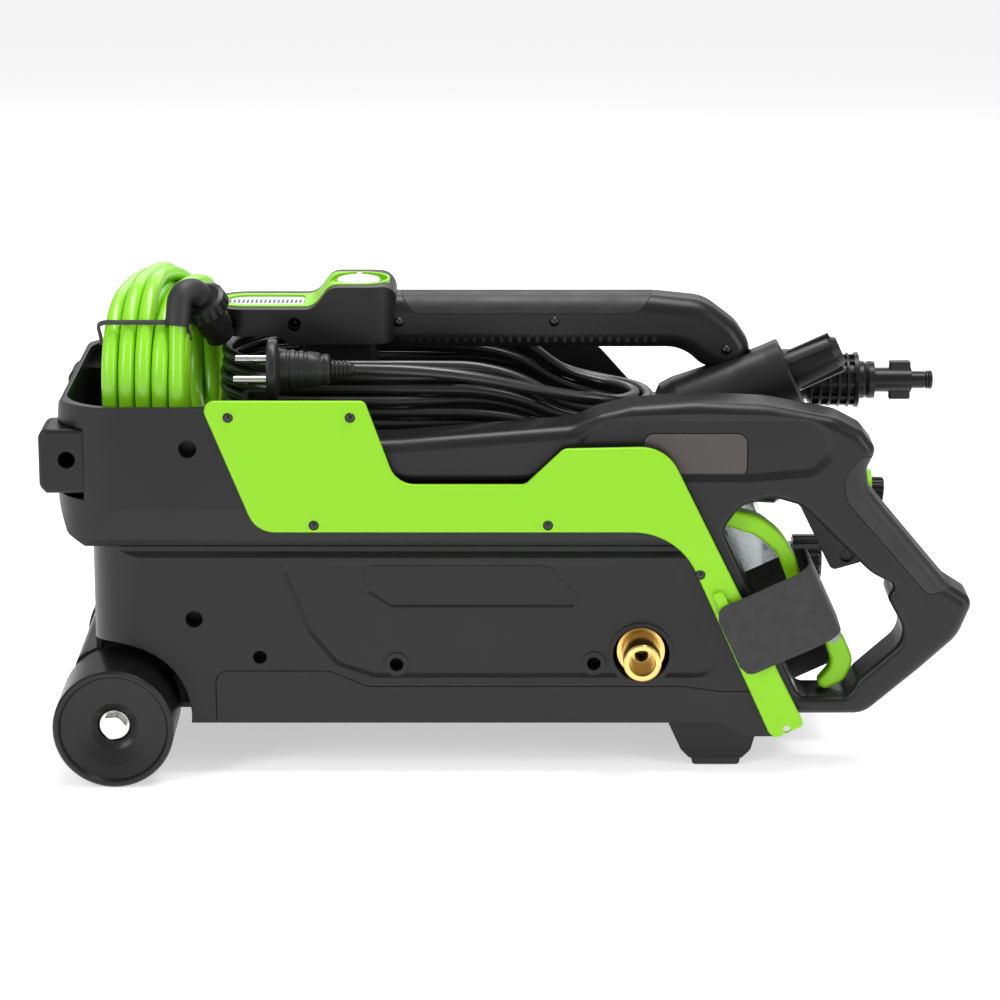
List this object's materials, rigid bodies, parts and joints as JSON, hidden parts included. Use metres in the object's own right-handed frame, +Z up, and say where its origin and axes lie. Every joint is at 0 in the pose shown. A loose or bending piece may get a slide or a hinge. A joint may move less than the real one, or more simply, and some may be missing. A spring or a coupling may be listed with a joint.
{
  "type": "pressure washer",
  "caption": "Low electric pressure washer on two rollers with a bridge handle over an open hose and cable tray, a side-stored spray gun and nozzles in holsters.",
  "frame": {"origin": "on the ground under the middle of the machine's box, with the machine lying on its wheels and its foot", "axes": "+X along the length from the wheels to the spray gun's grip, +Y to the far side, away from the spray gun, +Z up"},
  "size_m": [0.5377, 0.24, 0.2876],
  "materials": {
    "shell_black": "satin moulded plastic, fine grain",
    "lime_plastic": "satin lime plastic",
    "bright_steel": "plated steel",
    "cable_black": "smooth sheath",
    "soft_black": "soft-touch rubber",
    "inner_plastic": "plain",
    "screw_black": "black oxide",
    "gear_steel": "machined",
    "nozzle_black": "moulded",
    "bottle_clear": "translucent plastic",
    "badge_plate": "satin inlay",
    "gun_black": "fine grain",
    "hose_green": "glossy sheath",
    "motor_steel": "rolled",
    "plug_black": "moulded",
    "label_plate": "printed plate",
    "brass": "turned",
    "pump_alloy": "cast",
    "band_fabric": "hook-and-loop webbing",
    "knob_silver": "silver",
    "lock_grey": "moulded",
    "wheel_black": "satin"
  },
  "bodies": {
    "chassis": {"axle_bolts": "bright_steel", "axle_bracket": "shell_black", "base_pan": "shell_black", "cable_coil": "cable_black", "cable_gland": "soft_black", "cable_tail": "cable_black", "dome_screws": "screw_black", "end_bumpers": "shell_black", "foam_cradle": "shell_black", "foot_pads": "soft_black", "front_foot": "shell_black", "green_cover_far": "lime_plastic", "green_cover_near": "lime_plastic", "handle_far": "shell_black", "handle_inlay": "soft_black", "handle_near": "shell_black", "handle_post": "shell_black", "hose_coil": "hose_green", "hose_nut": "nozzle_black", "hose_sleeve": "soft_black", "housing_far": "shell_black", "housing_near": "shell_black", "motor_bearings": "gear_steel", "motor_can": "motor_steel", "nozzle_holster": "shell_black", "pistons": "gear_steel", "plug": "plug_black", "plug_pins": "bright_steel", "pod_frame": "lime_plastic", "pod_label": "label_plate", "pressure_outlet": "brass", "pump_case": "pump_alloy", "pump_head": "pump_alloy", "retaining_band": "band_fabric", "switch_base": "nozzle_black", "tray_shell": "shell_black", "water_inlet": "brass", "wheel_axle": "gear_steel"},
    "spray_gun": {"gun_shell_near": "gun_black", "gun_shell_far": "gun_black", "grip_overmould": "soft_black", "gun_badge": "badge_plate", "trigger_pin": "gear_steel", "lance_tube": "gear_steel"},
    "trigger": {"trigger": "lime_plastic"},
    "trigger_lock": {"trigger_lock": "lock_grey"},
    "wheel_near": {"wheel_near": "wheel_black"},
    "wheel_far": {"wheel_far": "wheel_black"},
    "switch_knob": {"switch_knob": "knob_silver"},
    "fan_nozzle": {"fan_nozzle": "nozzle_black"},
    "turbo_nozzle": {"turbo_nozzle": "nozzle_black"},
    "foam_bottle": {"foam_bottle": "bottle_clear", "foam_cap": "nozzle_black", "foam_head": "nozzle_black", "foam_tip": "lime_plastic"},
    "rotor": {"rotor": "motor_steel", "cooling_fan": "inner_plastic", "drive_pinion": "gear_steel"},
    "pump_drive": {"reduction_gear": "gear_steel", "swash_shaft": "gear_steel"}
  },
  "joints": [
    {"name": "wheel_near_spin", "type": "hinge", "parent": "chassis", "child": "wheel_near", "pos_m": [-0.2265, -0.0945, 0.035], "axis": [0, 1, 0], "continuous": true},
    {"name": "wheel_far_spin", "type": "hinge", "parent": "chassis", "child": "wheel_far", "pos_m": [-0.2265, 0.0945, 0.035], "axis": [0, 1, 0], "continuous": true},
    {"name": "gun_draw", "type": "slide", "parent": "chassis", "child": "spray_gun", "axis": [1, 0, 0], "range_m": [0, 0.2], "deforming": ["retaining_band"]},
    {"name": "trigger_pull", "type": "hinge", "parent": "spray_gun", "child": "trigger", "pos_m": [0.117, -0.075, 0.151], "axis": [0, -1, 0], "range_deg": [0, 5], "stiffness_Nm_per_rad": 0.6},
    {"name": "trigger_lock_turn", "type": "hinge", "parent": "trigger", "child": "trigger_lock", "pos_m": [0.1906, -0.0828, 0.08], "axis": [0, 1, 0], "range_deg": [0, 60]},
    {"name": "switch_turn", "type": "hinge", "parent": "chassis", "child": "switch_knob", "pos_m": [-0.087, 0, 0.272], "axis": [0, 0, -1], "range_deg": [0, 90]},
    {"name": "fan_nozzle_pull", "type": "slide", "parent": "chassis", "child": "fan_nozzle", "axis": [0.91, 0, 0.4147], "range_m": [0, 0.06]},
    {"name": "turbo_nozzle_pull", "type": "slide", "parent": "chassis", "child": "turbo_nozzle", "axis": [1, 0, 0], "range_m": [0, 0.05]},
    {"name": "foam_bottle_pull", "type": "slide", "parent": "chassis", "child": "foam_bottle", "axis": [1, 0, 0], "range_m": [0, 0.12]},
    {"name": "rotor_spin", "type": "hinge", "parent": "chassis", "child": "rotor", "pos_m": [-0.11, 0, 0.084], "axis": [1, 0, 0], "continuous": true},
    {"name": "pump_drive_spin", "type": "hinge", "parent": "chassis", "child": "pump_drive", "pos_m": [-0.03, 0.03, 0.084], "axis": [1, 0, 0], "continuous": true}
  ],
  "couplings": [
    {"joint": "pump_drive_spin", "follows": "rotor_spin", "ratio": -0.33333}
  ]
}
